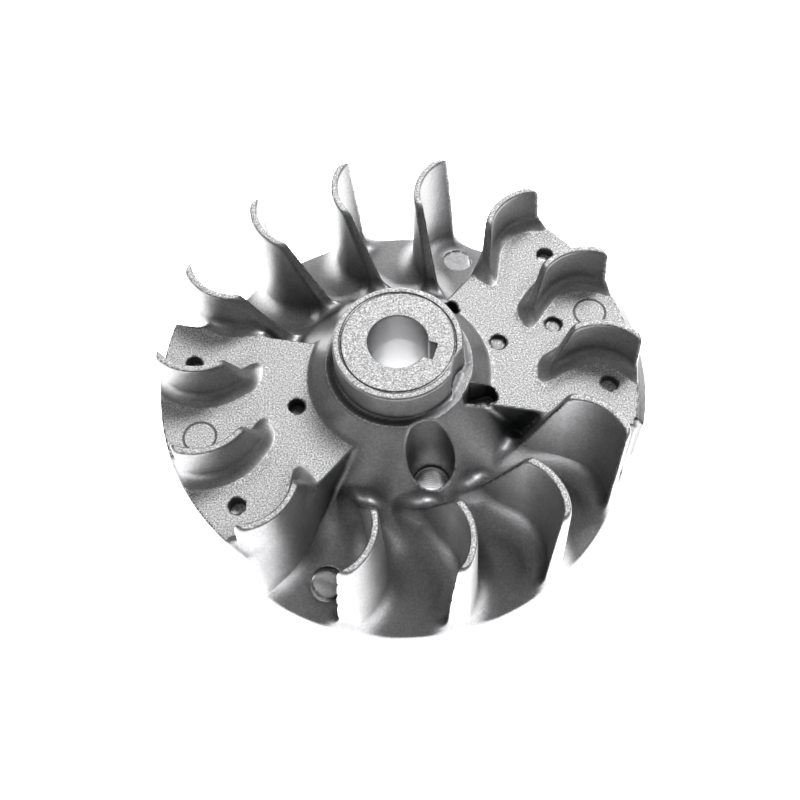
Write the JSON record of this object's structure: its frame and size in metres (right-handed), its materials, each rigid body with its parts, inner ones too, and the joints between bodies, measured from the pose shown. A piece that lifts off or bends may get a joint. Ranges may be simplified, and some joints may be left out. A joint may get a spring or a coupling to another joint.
{
  "type": "flywheel",
  "caption": "Die-cast aluminium fan flywheel for a small engine: hub with a taper bore and keyway, curved cooling blades, a cast-in magnet with steel pole shoes and a counterweight opposite.",
  "frame": {"origin": "centre of the bore in the hub's nut face", "axes": "+Z along the bore axis out of the nut face, on the fan side; +X and +Y across the wheel, the magnet sector's centreline 16.3 degrees from +X towards +Y"},
  "size_m": [0.087, 0.086, 0.034],
  "materials": {
    "cast_aluminium": "die cast, shot-blasted on the raised faces, smooth grey elsewhere",
    "sheet_steel": "punched sheet, turned at the outer face",
    "rivet_steel": "plain",
    "magnet_alloy": "ground, dark"
  },
  "bodies": {
    "root": {"wheel_casting": "cast_aluminium", "magnet": "magnet_alloy", "pole_shoe_a_sheet_01": "sheet_steel", "pole_shoe_a_sheet_02": "sheet_steel", "pole_shoe_a_sheet_03": "sheet_steel", "pole_shoe_a_sheet_04": "sheet_steel", "pole_shoe_a_sheet_05": "sheet_steel", "pole_shoe_a_sheet_06": "sheet_steel", "pole_shoe_a_sheet_07": "sheet_steel", "pole_shoe_a_sheet_08": "sheet_steel", "pole_shoe_a_sheet_09": "sheet_steel", "pole_shoe_a_sheet_10": "sheet_steel", "pole_shoe_b_sheet_01": "sheet_steel", "pole_shoe_b_sheet_02": "sheet_steel", "pole_shoe_b_sheet_03": "sheet_steel", "pole_shoe_b_sheet_04": "sheet_steel", "pole_shoe_b_sheet_05": "sheet_steel", "pole_shoe_b_sheet_06": "sheet_steel", "pole_shoe_b_sheet_07": "sheet_steel", "pole_shoe_b_sheet_08": "sheet_steel", "pole_shoe_b_sheet_09": "sheet_steel", "pole_shoe_b_sheet_10": "sheet_steel", "counterweight_a_sheet_01": "sheet_steel", "counterweight_a_sheet_02": "sheet_steel", "counterweight_a_sheet_03": "sheet_steel", "counterweight_a_sheet_04": "sheet_steel", "counterweight_a_sheet_05": "sheet_steel", "counterweight_a_sheet_06": "sheet_steel", "counterweight_a_sheet_07": "sheet_steel", "counterweight_a_sheet_08": "sheet_steel", "counterweight_a_sheet_09": "sheet_steel", "counterweight_a_sheet_10": "sheet_steel", "counterweight_b_sheet_01": "sheet_steel", "counterweight_b_sheet_02": "sheet_steel", "counterweight_b_sheet_03": "sheet_steel", "counterweight_b_sheet_04": "sheet_steel", "counterweight_b_sheet_05": "sheet_steel", "counterweight_b_sheet_06": "sheet_steel", "counterweight_b_sheet_07": "sheet_steel", "counterweight_b_sheet_08": "sheet_steel", "counterweight_b_sheet_09": "sheet_steel", "counterweight_b_sheet_10": "sheet_steel", "pole_shoe_a_rivets": "rivet_steel", "pole_shoe_b_rivets": "rivet_steel", "counterweight_a_rivets": "rivet_steel", "counterweight_b_rivets": "rivet_steel"}
  },
  "joints": []
}
